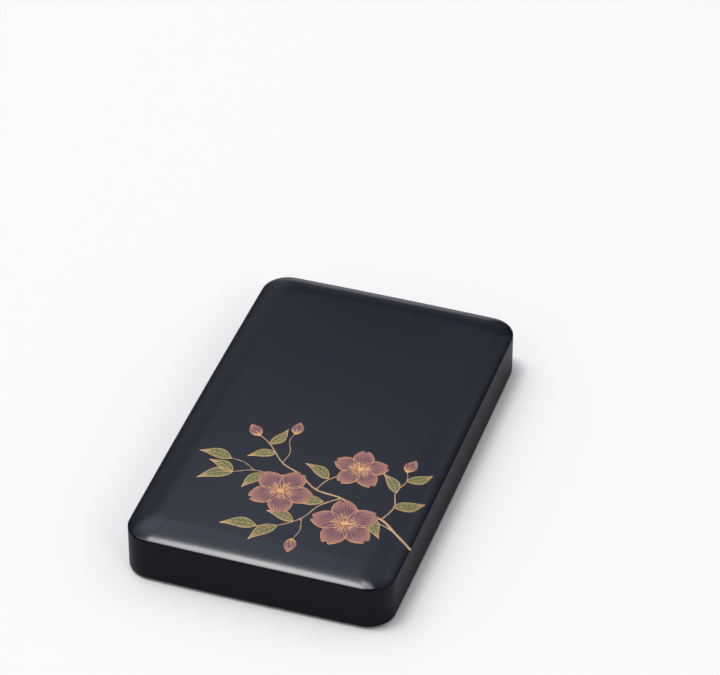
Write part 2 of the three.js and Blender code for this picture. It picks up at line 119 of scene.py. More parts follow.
def outline(width, length, radius, bow=(0, 0), corner_steps=14, side_steps=(14, 20)):
    """Points of a rounded rectangle round the origin, with sides that bow outwards in the middle."""
    straight_x = width / 2 - bow[0] - radius
    straight_y = length / 2 - bow[1] - radius
    points = []
    for corner, (side_x, side_y) in enumerate([(1, 1), (-1, 1), (-1, -1), (1, -1)]):
        for step in range(corner_steps + 1):
            angle = (corner + step / corner_steps) * pi / 2
            x = side_x * straight_x + radius * cos(angle)
            y = side_y * straight_y + radius * sin(angle)
            points.append((x, y))
        steps = side_steps[corner % 2]
        for step in range(1, steps):
            way = 1 - 2 * step / steps
            if corner % 2 == 0:
                points.append((side_x * straight_x * way, side_y * (length / 2 - bow[1] * way**2)))
            else:
                points.append((side_x * (width / 2 - bow[0] * way**2), side_y * straight_y * way))
    return points


def lid_outline(inset, softness=1.0):
    """The lid's outline moved inwards. Softness is how much of the inset the corner radius loses."""
    radius = lid_radius - softness * inset
    return outline(lid_width - 2 * inset, lid_length - 2 * inset, radius, lid_bow)


def rounded(corner, back, onwards, radius, steps=4):
    """Places on a quarter round in a corner, from a radius back from it to a radius onwards."""
    places = []
    for step in range(steps + 1):
        angle = step / steps * pi / 2
        a, b = radius * (1 - sin(angle)), radius * (1 - cos(angle))
        places.append(tuple(c + s * a + e * b for c, s, e in zip(corner, back, onwards)))
    return places


def drawn_out(name, rings, fill="NGON"):
    """A skin drawn out ring by ring from one circle. It is capped at both ends, or closes on itself.

    The places of the rings' points are in millimetres."""
    start_clean()
    bpy.ops.mesh.primitive_circle_add(vertices=len(rings[0]), fill_type=fill)
    made = named(name)
    bpy.ops.object.mode_set(mode="EDIT")
    for number, ring in enumerate(rings):
        if number:
            bpy.ops.mesh.extrude_region_move()
        skin = bmesh.from_edit_mesh(made.data)
        if not number:
            place = skin.verts.layers.int.new("place")
            for index, corner in enumerate(skin.verts):
                corner[place] = index
        place = skin.verts.layers.int["place"]
        for corner in skin.verts:
            if corner.select:
                corner.co = Vector(ring[corner[place]]) * mm
        bmesh.update_edit_mesh(made.data)
    bpy.ops.mesh.select_all(action="SELECT")
    bpy.ops.mesh.remove_doubles(threshold=1e-7)
    bpy.ops.mesh.normals_make_consistent()
    bpy.ops.object.mode_set(mode="OBJECT")
    made.data.attributes.remove(made.data.attributes["place"])
    return made


def smooth(piece, angle=40, even=True):
    """Round shading up to an angle, with the wide faces kept flat where even is set."""
    pick(piece)
    bpy.ops.object.shade_smooth_by_angle(angle=radians(angle))
    if even:
        modify(piece, "WEIGHTED_NORMAL", keep_sharp=True)


class Wire:
    """A socket of a node. Sums written on it add their nodes."""

    def __init__(self, nodes, socket):
        self.nodes = nodes
        self.socket = socket

    def maths(self, operation, *values):
        return self.nodes.node("ShaderNodeMath", {"operation": operation}, dict(enumerate(values)))

    def __add__(self, other):
        return self.maths("ADD", self, other)

    def __sub__(self, other):
        return self.maths("SUBTRACT", self, other)

    def __rsub__(self, other):
        return self.maths("SUBTRACT", other, self)

    def __mul__(self, other):
        return self.maths("MULTIPLY", self, other)

    def __pow__(self, other):
        return self.maths("POWER", self, other)

    def __abs__(self):
        return self.maths("ABSOLUTE", self)

    __radd__ = __add__
    __rmul__ = __mul__

    def over(self, low, high):
        """0 below low, 1 above high, and a smooth rise between them."""
        settings = {"interpolation_type": "SMOOTHSTEP"}
        inputs = {"Value": self, "From Min": low, "From Max": high}
        return self.nodes.node("ShaderNodeMapRange", settings, inputs)


class Nodes:
    """The nodes of a material or of the room."""

    def __init__(self, tree):
        self.tree = tree

    def feed(self, socket, value):
        if isinstance(value, Wire):
            self.tree.links.new(value.socket, socket)
        elif socket.type == "RGBA":
            socket.default_value = (*value, 1)
        else:
            socket.default_value = value

    def node(self, kind, settings=None, inputs=None, output=0):
        made = self.tree.nodes.new(kind)
        for name, value in (settings or {}).items():
            setattr(made, name, value)
        for name, value in (inputs or {}).items():
            self.feed(made.inputs[name], value)
        return Wire(self, made.outputs[output])

    def part(self, vector, number):
        """The first, second or third number of a vector, counted from 0."""
        return self.node("ShaderNodeSeparateXYZ", {}, {0: vector}, number)

    def blend(self, share, first, second):
        """From the first colour to the second as the share goes from 0 to 1."""
        inputs = {0: share, 6: first, 7: second}
        return self.node("ShaderNodeMix", {"data_type": "RGBA"}, inputs, output=2)


class Paint(Nodes):
    """A finish: a material, its shader, and the nodes that vary it over a surface."""

    def __init__(self, name, roughness=0.5, metallic=0.0, **values):
        self.material = bpy.data.materials.new(name)
        self.material.use_nodes = True
        super().__init__(self.material.node_tree)
        self.shader = self.tree.nodes["Principled BSDF"]
        self.set(Roughness=roughness, Metallic=metallic, **values)

    def set(self, **values):
        for name, value in values.items():
            self.feed(self.shader.inputs[name.replace("_", " ")], value)

    def places(self, size=(1, 1, 1), source="Object"):
        """Coordinates on the piece, times a size."""
        found = self.node("ShaderNodeTexCoord", output=source)
        return self.node("ShaderNodeMapping", {}, {"Vector": found, "Scale": size})

    def noise(self, scale, detail, stretch=(1, 1, 1), source="Object"):
        inputs = {"Vector": self.places(stretch, source), "Scale": scale, "Detail": detail}
        return self.node("ShaderNodeTexNoise", {}, inputs)

    def bump(self, height, distance, strength=1.0):
        inputs = {"Height": height, "Distance": distance, "Strength": strength}
        self.set(Normal=self.node("ShaderNodeBump", {}, inputs))


def lacquer(name, gloss):
    """Lacquer under a clear coat, with a faint cloud and grain in it left by hand polishing."""
    paint = Paint(name, Specular_IOR_Level=0.0, Coat_IOR=1.5, Coat_Roughness=gloss)
    paint.cloud = paint.noise(38, 4).over(0.35, 0.7)
    paint.grain = paint.noise(220, 3, (1, 0.12, 1))
    paint.set(Roughness=0.45 + paint.grain * 0.2)
    paint.bump(paint.noise(24, 1) + paint.grain * 0.004, 0.00005, 0.5)
    return paint


def dress(piece, paint):
    piece.data.materials.append(paint.material)


deep_black = (0.004, 0.004, 0.0045)
bloomed_black = (0.009, 0.008, 0.0085)
inner_lacquer = lacquer("inner_black_lacquer", 0.22)
bloom = inner_lacquer.cloud * 0.7 + inner_lacquer.grain * 0.3
inner_lacquer.set(Base_Color=inner_lacquer.blend(bloom, deep_black, bloomed_black))
inner_lacquer.set(Coat_Weight=0.62 - inner_lacquer.cloud * 0.14)

inner = body_inset + body_wall
body_profile = [
    *rounded((body_inset, body_foot), inwards, upwards, foot_rounding),
    *rounded((body_inset, body_top), downwards, inwards, body_easing),
    *rounded((inner, body_top), outwards, downwards, body_easing),
    *rounded((inner, body_floor_top), upwards, inwards, inner_fillet),
]
body_rings = [[(x, y, height) for x, y in lid_outline(inset)] for inset, height in body_profile]
body = drawn_out("lacquered_body", body_rings)
smooth(body)
dress(body, inner_lacquer)
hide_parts("body_floor", "body_sides")
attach(body, "box")

# The tray
# A shallow lacquered tray that drops into the body, in one skin of lacquer with its floor. A curved dip
# in the middle of each end takes a fingertip. It lifts straight out with all the tools in it.
tray_low, tray_high = box_of("tray_floor")
tray_floor_top = tray_high.z
rim_top = box_of("tray_rim")[1].z
tray_width = tray_high.x - tray_low.x
tray_length = tray_high.y - tray_low.y
tray_radius = 6.2
tray_wall = 2.4
tray_easing = 0.5
dip_radius = 15
dip_depth = 6
dip_softness = 0.7


def dip(x):
    """How far the rim's top lies lower for the fingertip, with a soft start at each side."""
    drop = sqrt(max(dip_radius**2 - x**2, 0)) - dip_radius + dip_depth
    return (drop + hypot(drop, dip_softness)) / 2 if abs(x) < 2 * dip_radius else 0


def tray_ring(inset, height):
    """A ring of the tray. Near its top the rim dips at both ends."""
    width, length = tray_width - 2 * inset, tray_length - 2 * inset
    ring = outline(width, length, tray_radius - inset, side_steps=(80, 20))
    end = tray_length / 2 - 1.5 * tray_wall
    dipped = height > tray_floor_top + tray_wall
    return [(x, y, height - (dip(x) if dipped and abs(y) > end else 0)) for x, y in ring]


tray_profile = [
    *rounded((0, tray_low.z), inwards, upwards, tray_easing),
    *rounded((0, rim_top), downwards, inwards, tray_easing),
    *rounded((tray_wall, rim_top), outwards, downwards, tray_easing),
    *rounded((tray_wall, tray_floor_top), upwards, inwards, tray_easing),
]
tray = drawn_out("lacquered_tray", [tray_ring(*place) for place in tray_profile])
smooth(tray)
dress(tray, inner_lacquer)
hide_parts("tray_floor", "tray_rim")
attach(tray, "tray")

# The two dividers
# Thin upright boards along the tray, rounded over at the top. They part the brushes and the ink stick
# from the stone in the middle, and are glued to the tray's floor.
divider_rounding = 0.95
divider_steps = 6


def board(name, low, high):
    """A square-edged board between two corners."""
    start_clean()
    bpy.ops.mesh.primitive_cube_add(size=1, location=(Vector(low) + Vector(high)) / 2 * mm)
    made = named(name)
    made.scale = (Vector(high) - Vector(low)) * mm
    bpy.ops.object.transform_apply()
    return made


def ease_edges(piece, chosen, radius, steps):
    """Rounds the edges that are chosen by the places of their two ends, in millimetres."""
    pick(piece)
    bpy.ops.object.mode_set(mode="EDIT")
    bpy.ops.mesh.select_mode(type="EDGE")
    bpy.ops.mesh.select_all(action="DESELECT")
    shape = bmesh.from_edit_mesh(piece.data)
    for edge in shape.edges:
        first, second = (corner.co / mm for corner in edge.verts)
        if chosen(first, second):
            edge.select_set(True)
    bmesh.update_edit_mesh(piece.data)
    bpy.ops.mesh.bevel(offset=radius * mm, segments=steps)
    bpy.ops.object.mode_set(mode="OBJECT")


def same(first, second):
    return abs(first - second) < 1e-3


for divider_name in ("left_divider", "right_divider"):
    low, high = box_of(divider_name)
    divider = board(divider_name.replace("divider", "partition"), low, high)
    ease_edges(
        divider,
        lambda a, b: same(a.z, high.z) and same(b.z, high.z) and same(a.x, b.x),
        divider_rounding,
        divider_steps,
    )
    smooth(divider)
    dress(divider, inner_lacquer)
    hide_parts(divider_name)
    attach(divider, "tray")

# The board with the wells
# A thicker board glued into the middle of the tray. Two wells with round corners are cut through it, one
# for the inkstone and one for the water dropper, so that neither slides about.
well_easing = 0.5
well_clearance = 0.3
well_radius = 5.3
well_board_corner = 1
well_cut_past = 5
sharp_angle = 50


def rounded_board(name, low, high, corner, easing, steps=10):
    """A board with round corners in plan and eased edges above and below."""
    made = board(name, low, high)
    ease_edges(made, lambda a, b: same(a.x, b.x) and same(a.y, b.y), corner, steps)
    if easing:
        ease_edges(made, lambda a, b: same(a.z, b.z), easing, 3)
    return made


def cut(piece, cutter):
    """Cuts the second piece's shape out of the first, and clears it away."""
    modify(piece, "BOOLEAN", object=cutter, solver="EXACT")
    bpy.data.objects.remove(cutter)


def soften(piece, width, steps=3):
    """Eases every sharp edge of a piece by a small width."""
    limit = {"limit_method": "ANGLE", "angle_limit": radians(sharp_angle)}
    modify(piece, "BEVEL", width=width * mm, segments=steps, **limit)


well_board = rounded_board("board_with_wells", *box_of("well_board"), well_board_corner, 0, 4)
for tool in ("inkstone", "dropper_pan"):
    tool_low, tool_high = box_of(tool)
    room = Vector((well_clearance, well_clearance, well_cut_past))
    cut(well_board, rounded_board("well", tool_low - room, tool_high + room, well_radius, 0))
soften(well_board, well_easing)
smooth(well_board)
dress(well_board, inner_lacquer)
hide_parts("well_board")
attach(well_board, "tray")

# The brush rests
# Two small bars across the brush trough, each with a half-round notch for either brush. They are
# lacquered with the tray.
rest_easing = 0.35
notch_play = 0.3
notch_sides = 48
cutter_length = 20


def middle_of(node):
    low, high = box_of(node)
    return (low + high) / 2


def span_of(node):
    """Where a round piece of a brush starts and ends along Y, and its radius."""
    low, high = box_of(node)
    return low.y, high.y, (high.x - low.x) / 2


def bore(piece, place, radius, sides, turn=(0, 0, 0)):
    """Cuts a round hole or notch into a piece."""
    start_clean()
    size = {"vertices": sides, "radius": radius * mm, "depth": cutter_length * mm}
    bpy.ops.mesh.primitive_cylinder_add(location=Vector(place) * mm, rotation=turn, **size)
    cut(piece, bpy.context.object)


for rest_name in ("front_brush_rest", "rear_brush_rest"):
    low, high = box_of(rest_name)
    rest = board(rest_name.replace("brush_rest", "rest_bar"), low, high)
    for kind in ("large_brush", "small_brush"):
        place = (middle_of(f"{kind}_handle").x, middle_of(rest_name).y, high.z)
        bore(rest, place, span_of(f"{kind}_handle")[2] + notch_play, notch_sides, (pi / 2, 0, 0))
    soften(rest, rest_easing)
    smooth(rest)
    dress(rest, inner_lacquer)
    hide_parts(rest_name)
    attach(rest, "tray")

# The inkstone
# One block of fine dark slate. A rim is left standing all round. Inside it the land slopes gently down
# to a deep rounded pond at the back, where the water stands while ink is ground on the land.
stone_low, stone_high = box_of("inkstone")
stone_middle = middle_of("inkstone")
stone_width = stone_high.x - stone_low.x
stone_length = stone_high.y - stone_low.y
stone_radius = 5
stone_easing = 0.9
carving_rim = 5
carving_radius = 8
land_depths = (1.2, 2.6)
pond_depth = 7.5
pond_half_width = 34
pond_half_length = 24
pond_setback = 8
pond_softness = 1.2
least_radius = 1.5
lip_start = 0.45
lip_steps = [(-0.2, 0.012), (0, 0.06), (0.15, 0.2), (0.3, 0.45), (0.5, 0.72), (0.8, 0.9), (1.2, 0.98)]
land_insets = [1.8, 2.8, 4, 5.5, 7]
land_rings = 12
innermost_scale = 0.04


def stone_outline(inset, radius):
    width, length = stone_width - 2 * inset, stone_length - 2 * inset
    return outline(width, length, radius, corner_steps=10, side_steps=(24, 40))


def soft_max(first, second):
    """The greater of two depths, with a rounded change from one to the other."""
    return (first + second + hypot(first - second, pond_softness)) / 2


def carved_depth(x, y):
    """Depth of the land, or of the pond where that is deeper."""
    half = stone_length / 2 - carving_rim
    land = land_depths[0] + (land_depths[1] - land_depths[0]) * (y + half) / (2 * half)
    away = (x / pond_half_width) ** 2 + ((y - half + pond_setback) / pond_half_length) ** 2
    pond = pond_depth * sqrt(1 - away) if away < 1 else -4 * (away - 1)
    return soft_max(land, pond)


def stone_ring(points, height):
    return [(stone_middle.x + x, stone_middle.y + y, height) for x, y in points]


def carved_ring(inset, share, scale=1.0):
    """A ring inside the carving, where share of the full depth is reached."""
    radius = max(carving_radius - inset, least_radius)
    ring = [(x * scale, y * scale) for x, y in stone_outline(carving_rim + inset, radius)]
    return [
        (stone_middle.x + x, stone_middle.y + y, stone_high.z - share * carved_depth(x, y))
        for x, y in ring
    ]


stone_rings = [
    stone_ring(stone_outline(inset, stone_radius - inset), height)
    for inset, height in [
        *rounded((0, stone_low.z), inwards, upwards, stone_easing),
        *rounded((0, stone_high.z), downwards, inwards, stone_easing),
    ]
]
lip = stone_outline(carving_rim - lip_start, carving_radius + lip_start)
stone_rings.append(stone_ring(lip, stone_high.z))
for inset, share in lip_steps:
    stone_rings.append(carved_ring(inset, share))
for inset in land_insets:
    stone_rings.append(carved_ring(inset, 1))
for step in range(1, land_rings + 1):
    stone_rings.append(carved_ring(land_insets[-1], 1, 1 - step / land_rings * (1 - innermost_scale)))
stone = drawn_out("carved_inkstone", stone_rings)
smooth(stone, sharp_angle, even=False)

dark_slate = (0.022, 0.024, 0.027)
pale_slate = (0.04, 0.042, 0.046)
slate_speck = (0.09, 0.09, 0.088)
slate = Paint("ground_slate")
beds = slate.noise(60, 6, (1, 0.35, 2.2))
specks = slate.noise(1500, 2).over(0.62, 0.7)
clouds = slate.noise(90, 5).over(0.4, 0.65)
slate.set(Base_Color=slate.blend(specks * 0.5, slate.blend(clouds, dark_slate, pale_slate), slate_speck))
slate.set(Roughness=0.5 + beds * 0.22)
slate.bump(beds * 0.5 + slate.noise(1100, 3) * 0.5, 0.00006)
dress(stone, slate)
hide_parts("inkstone")
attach(stone, "inkstone")

# The water dropper
# A flat box of brass, closed at the top and browned with handling. A fingertip over the hole in the
# middle holds the water back, and drops leave by the small turned spout at the corner.
pan_low, pan_high = box_of("dropper_pan")
top_low, top_high = box_of("dropper_top")
spout_low, spout_high = box_of("dropper_spout")
pan_middle = middle_of("dropper_pan")
spout_middle = middle_of("dropper_spout")
pan_wall = 1
pan_floor_top = pan_low.z + 1
pan_radius = 5
pan_easing = 0.4
pan_fillet = 0.6
pan_lip_easing = 0.2
plate_easing = 0.3
air_hole_radius = 1.3
hole_sides = 40
spout_bore = 1.1
spout_neck = 1.9
spout_foot = 2.9
glue_line = 0.1


def pan_ring(inset, height):
    width = pan_high.x - pan_low.x - 2 * inset
    length = pan_high.y - pan_low.y - 2 * inset
    ring = outline(width, length, pan_radius - inset, corner_steps=10, side_steps=(4, 4))
    return [(pan_middle.x + x, pan_middle.y + y, height) for x, y in ring]


pan_profile = [
    *rounded((0, pan_low.z), inwards, upwards, pan_easing),
    *rounded((0, pan_high.z), downwards, inwards, pan_lip_easing, 2),
    (pan_wall, pan_high.z),
    *rounded((pan_wall, pan_floor_top), upwards, inwards, pan_fillet),
]
pan = drawn_out("brass_pan", [pan_ring(*place) for place in pan_profile])
smooth(pan)

plate = rounded_board("brass_plate", top_low, top_high, pan_radius, 0)
for hole, radius in ((pan_middle, air_hole_radius), (spout_middle, spout_neck + glue_line)):
    bore(plate, (hole.x, hole.y, top_high.z), radius, hole_sides)
soften(plate, plate_easing)
smooth(plate)


def turned(name, profile, middle, steps=32, along_y=False, ridges=None):
    """A turned piece from pairs of radius and place along its axis. A profile that ends on its first
    pair closes on itself."""
    loop = profile[0] == profile[-1]
    rings = []
    for radius, place in profile:
        ring = []
        for step in range(steps):
            angle = step / steps * tau
            wide = radius * (ridges(angle, place) if ridges else 1)
            a, b = wide * cos(angle), wide * sin(angle)
            if along_y:
                ring.append((middle.x + a, place, middle.z + b))
            else:
                ring.append((middle.x + a, middle.y + b, place))
        rings.append(ring)
    return drawn_out(name, rings, "NOTHING" if loop else "NGON")


foot_low = top_high.z + glue_line
foot_top = top_high.z + 0.4
spout_profile = [
    (spout_bore, spout_low.z),
    (spout_neck, spout_low.z),
    (spout_neck, foot_low),
    (spout_foot - 0.1, foot_low),
    (spout_foot, foot_low + 0.1),
    (spout_foot - 0.05, foot_top - 0.08),
    (spout_foot - 0.3, foot_top),
    (spout_neck + 0.32, foot_top + 0.12),
    (spout_neck + 0.1, foot_top + 0.35),
    (spout_neck, spout_high.z - 0.4),
    (spout_neck - 0.02, spout_high.z - 0.14),
    (spout_neck - 0.15, spout_high.z),
    (spout_bore + 0.15, spout_high.z),
    (spout_bore, spout_high.z - 0.14),
    (spout_bore, spout_low.z),
]
spout = turned("brass_spout", spout_profile, spout_middle)
smooth(spout, 35)

clean_brass = (0.62, 0.4, 0.16)
brown_brass = (0.42, 0.25, 0.1)
brass_spot = (0.16, 0.095, 0.045)
brass = Paint("browned_brass", metallic=1.0)
handled = brass.noise(75, 6).over(0.3, 0.75)
spots = brass.noise(700, 3).over(0.6, 0.72)
lines = brass.noise(420, 2, (1, 0.03, 1))
brass.set(Base_Color=brass.blend(spots * 0.5, brass.blend(handled, clean_brass, brown_brass), brass_spot))
brass.set(Roughness=0.2 + handled * 0.14 + lines * 0.1)
brass.bump(lines * 0.5 + spots * 0.4, 0.00002)
for metal, node in ((pan, "dropper_pan"), (plate, "dropper_top"), (spout, "dropper_spout")):
    dress(metal, brass)
    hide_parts(node)
    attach(metal, "water_dropper")

# The ink stick
# Soot and glue pressed in a mould and dried hard. Its edges are rounded, and a panel is sunk along its
# upper face.
ink_low, ink_high = box_of("ink_stick")
ink_corner = 2
ink_easing = 1
panel_border = 2.2
panel_depth = 0.4
panel_easing = 0.15
panel_cut_past = 1

ink_stick = rounded_board("pressed_ink", ink_low, ink_high, ink_corner, ink_easing, 6)
panel_low = (ink_low.x + panel_border, ink_low.y + panel_border, ink_high.z - panel_depth)
panel_high = (ink_high.x - panel_border, ink_high.y - panel_border, ink_high.z + panel_cut_past)
cut(ink_stick, rounded_board("panel", panel_low, panel_high, ink_corner, 0, 6))
soften(ink_stick, panel_easing, 2)
smooth(ink_stick, sharp_angle)

deep_soot = (0.008, 0.0078, 0.0075)
rubbed_soot = (0.02, 0.019, 0.018)
soot = Paint("pressed_soot")
pressed = soot.noise(300, 4)
soot.set(Base_Color=soot.blend(soot.noise(70, 4).over(0.35, 0.7), deep_soot, rubbed_soot))
soot.set(Roughness=0.38 + pressed * 0.2)
soot.bump(pressed, 0.00006)
dress(ink_stick, soot)
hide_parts("ink_stick")
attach(ink_stick, "ink_stick")

# The brushes
# A large and a small writing brush. Each has a bamboo handle with two nodes, a horn ferrule and tail
# cap, and a pointed tuft of pale goat hair, and wears a bamboo cap that pulls off towards the front.
cane_ridge = [(-2.6, 0), (-1.3, 0.04), (-0.5, 0.11), (-0.16, 0.14), (0, 0)]
cane_ridge += [(0.16, 0.13), (0.6, 0.07), (1.7, 0)]
cane_ridge_height = 0.14
ferrule_wall = 0.4
spigot_play = 0.2
cap_play = 0.3
cap_end_wall = 1.6
peg_radius = 1.1
tail_tip = [(0.97, 2.2), (0.88, 1.1), (0.68, 0.4), (0.4, 0.1), (0.1, 0)]
tuft_rings = 14
cap_end_curve = [(0.35, 0.15), (0.06, 0.6), (0, 1.3), (0.04, 2.6), (0.16, 2.8), (0.03, 3.05), (0.05, 5)]
cap_waist = 0.12

straw = (0.5, 0.33, 0.14)
aged_straw = (0.36, 0.2, 0.075)
pale_fibre = (0.62, 0.45, 0.22)
bamboo_fleck = (0.16, 0.08, 0.03)
bamboo = Paint("dry_bamboo")
fibres = bamboo.noise(900, 3, (1, 0.03, 1))
ageing = bamboo.noise(45, 4, (1, 0.3, 1)).over(0.35, 0.7)
flecks = bamboo.noise(380, 2, (1, 0.25, 1)).over(0.66, 0.74)
cane = bamboo.blend(fibres.over(0.35, 0.75) * 0.5, bamboo.blend(ageing, straw, aged_straw), pale_fibre)
bamboo.set(Base_Color=bamboo.blend(flecks * 0.7, cane, bamboo_fleck))
bamboo.set(Roughness=0.36 + fibres * 0.2)
bamboo.bump(fibres, 0.00003)

dark_horn = (0.012, 0.009, 0.007)
brown_horn = (0.06, 0.036, 0.02)
horn = Paint("polished_horn")
bands = horn.noise(160, 4, (1, 0.15, 1)).over(0.4, 0.68)
horn.set(Base_Color=horn.blend(bands, dark_horn, brown_horn))
horn.set(Roughness=0.24 + bands * 0.12)
horn.bump(horn.noise(700, 2, (1, 0.1, 1)), 0.00001)

shaded_hair = (0.5, 0.4, 0.26)
pale_hair = (0.68, 0.59, 0.43)
parted_hair = (0.3, 0.22, 0.13)
goat_hair = Paint("goat_hair")
strands = goat_hair.noise(2600, 3, (1, 0.02, 1))
shade = goat_hair.noise(600, 3, (1, 0.08, 1)).over(0.3, 0.7)
hair_colour = goat_hair.blend(shade, shaded_hair, pale_hair)
goat_hair.set(Base_Color=goat_hair.blend(strands.over(0.5, 0.7) * 0.45, hair_colour, parted_hair))
goat_hair.set(Roughness=0.62 + strands * 0.2)
goat_hair.bump(strands, 0.00012)


def bamboo_tube(radius, start, end, nodes):
    """Radius and place along a cane, with a ridge and a groove at each of its nodes."""
    shaft = radius - cane_ridge_height
    profile = [(shaft + rise, place + off) for place in nodes for off, rise in cane_ridge]
    return [(shaft, start), *[p for p in profile if start < p[1] < end], (shaft, end)]


def ridged(angle, place):
    """Locks of hair round the tuft, a little uneven."""
    return 1 + 0.018 * sin(17 * angle + 0.1 * place) + 0.014 * sin(29 * angle - 0.23 * place)


for name in ("large", "small"):
    kind = f"{name}_brush"
    axis = middle_of(f"{kind}_handle")
    handle_start, handle_end, handle_radius = span_of(f"{kind}_handle")
    cap_start, cap_end, cap_radius = span_of(f"{kind}_cap")
    ferrule_start, ferrule_end, ferrule_radius = span_of(f"{kind}_ferrule")
    tail_end, tail_radius = span_of(f"{kind}_tail_cap")[1:]
    hair_start, hair_end, hair_radius = span_of(f"{kind}_hair")
    ferrule_bore = ferrule_radius - ferrule_wall
    spigot_end = ferrule_end + glue_line
    spigot_radius = ferrule_bore - spigot_play

    third = (handle_end - spigot_end) / 3
    node_places = (spigot_end + third, handle_end - 0.9 * third)
    cane_profile = bamboo_tube(handle_radius, spigot_end, handle_end, node_places)
    handle_profile = [(spigot_radius, handle_start), (spigot_radius, spigot_end), *cane_profile]
    handle = turned(f"{name}_bamboo_handle", handle_profile, axis, along_y=True)

    tail_start = handle_end + glue_line
    tail_profile = [
        (peg_radius, tail_start),
        (tail_radius - 0.3, tail_start),
        (tail_radius - 0.05, tail_start + 0.2),
        (tail_radius, tail_start + 0.7),
        *[(tail_radius * share, tail_end - back) for share, back in tail_tip],
    ]
    tail = turned(f"{name}_horn_tail", tail_profile, axis, along_y=True)

    ferrule_profile = [
        (ferrule_bore, ferrule_start),
        (ferrule_radius - 0.12, ferrule_start),
        (ferrule_radius, ferrule_start + 0.15),
        (ferrule_radius, ferrule_end - 0.15),
        (ferrule_radius - 0.12, ferrule_end),
        (ferrule_bore, ferrule_end),
        (ferrule_bore, ferrule_start),
    ]
    ferrule = turned(f"{name}_horn_ferrule", ferrule_profile, axis, along_y=True)

    tuft_profile = [(0.02, hair_start)]
    for step in range(1, tuft_rings + 1):
        way = step / tuft_rings
        swell = sin(pi / 2 * min(way * 1.25, 1)) ** 0.85
        wide = hair_radius * swell * (1 - 0.4 * max(way - 0.75, 0))
        if step == tuft_rings:
            wide = min(wide, spigot_radius)
        tuft_profile.append((wide, hair_start + (ferrule_start - hair_start) * way))
    tuft_profile.append((spigot_radius, hair_end))
    tuft = turned(f"{name}_hair_tuft", tuft_profile, axis, 72, along_y=True, ridges=ridged)

    bore = ferrule_radius + cap_play
    bore_start = cap_start + cap_end_wall
    cap_profile = [
        (cap_radius * 0.3, cap_start),
        (cap_radius - 1, cap_start),
        *[(cap_radius - inside, cap_start + along) for inside, along in cap_end_curve],
        (cap_radius - cap_waist, cap_start + 9),
        (cap_radius - cap_waist, cap_end - 0.3),
        (cap_radius - 0.3, cap_end),
        (bore + 0.1, cap_end),
        (bore, cap_end - 0.2),
        (bore, bore_start + 0.5),
        (bore - 0.5, bore_start),
        (bore * 0.3, bore_start),
    ]
    cap = turned(f"{name}_bamboo_cap", cap_profile, axis, along_y=True)

    for piece, part, paint, slot_name, body_name in (
        (handle, "handle", bamboo, "bamboo", kind),
        (tail, "tail_cap", horn, "horn", kind),
        (ferrule, "ferrule", horn, "horn", kind),
        (tuft, "hair", goat_hair, "brush_hair", kind),
        (cap, "cap", bamboo, "bamboo", f"{kind}_cap"),
    ):
        smooth(piece, sharp_angle, even=False)
        dress(piece, paint)
        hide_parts(f"{kind}_{part}")
        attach(piece, body_name)

# The lid
# A thin wooden shell under one skin of blue-black lacquer, polished to a soft gloss. Its top swells from
# a crisp shoulder over a rolled border into a low crown, and it is hollowed in the same way below.
roll_width = 15
roll_rise = 3.6
crown_rise = 1.2
shoulder = box_of("lid_top")[1].z - roll_rise - crown_rise
ledge = box_of("lid_top")[0].z
lid_foot = lid_low.z
corner_softness = 0.55
top_thickness = 3.2
ceiling_scales = [0.03, 0.15, 0.3, 0.45, 0.6, 0.75, 0.88]
ceiling_insets = [15, 14, 13, 12, 11.3]
ceiling_border = 8
cove_width = 3
cove_steps = 6
ledge_inset = 6
ledge_easing = 0.5
lid_wall = 3.2
foot_easing = 0.7
side_heights = [4, 8, 14, 20, 22.2]
shoulder_easing = 0.45
shoulder_steps = 6
roll_steps = 24
crown_steps = 18


def crown_height(x, y, inset):
    """Height of the lid's top over the shoulder's level: the roll, and the crown that it runs into."""
    reach = min(inset / roll_width, 1)
    roll = roll_rise * (1 - (1 - reach) ** 2)
    return roll + crown_rise * (1 - (2 * x / lid_width) ** 2) * (1 - (2 * y / lid_length) ** 2)


def crown_ring(inset, scale=1.0, depth=0.0):
    ring = [(x * scale, y * scale) for x, y in lid_outline(inset, corner_softness)]
    return [(x, y, shoulder + crown_height(x, y, inset) - depth) for x, y in ring]


# Inside, from the middle of the ceiling outwards and down a cove to the ledge
lid_rings = [crown_ring(roll_width, scale, top_thickness) for scale in ceiling_scales]
lid_rings += [crown_ring(inset, 1, top_thickness) for inset in ceiling_insets]
cove_top = crown_ring(ceiling_border + cove_width, 1, top_thickness)
cove_foot = lid_outline(ceiling_border, corner_softness)
for step in range(cove_steps + 1):
    angle = step / cove_steps * pi / 2
    rise, reach = cos(angle), 1 - sin(angle)
    lid_rings.append([
        (a + (x - a) * reach, b + (y - b) * reach, ledge + (z - ledge) * rise)
        for (x, y, z), (a, b) in zip(cove_top, cove_foot)
    ])
# Down the wall, round its foot and up the outer side
for inset, height in [
    (ledge_inset, ledge),
    *rounded((lid_wall, ledge), inwards, downwards, ledge_easing),
    (lid_wall, 12),
    *rounded((lid_wall, lid_foot), upwards, outwards, foot_easing),
    *rounded((0, lid_foot), inwards, upwards, foot_easing),
    *[(0, height) for height in side_heights],
]:
    lid_rings.append([(x, y, height) for x, y in lid_outline(inset)])
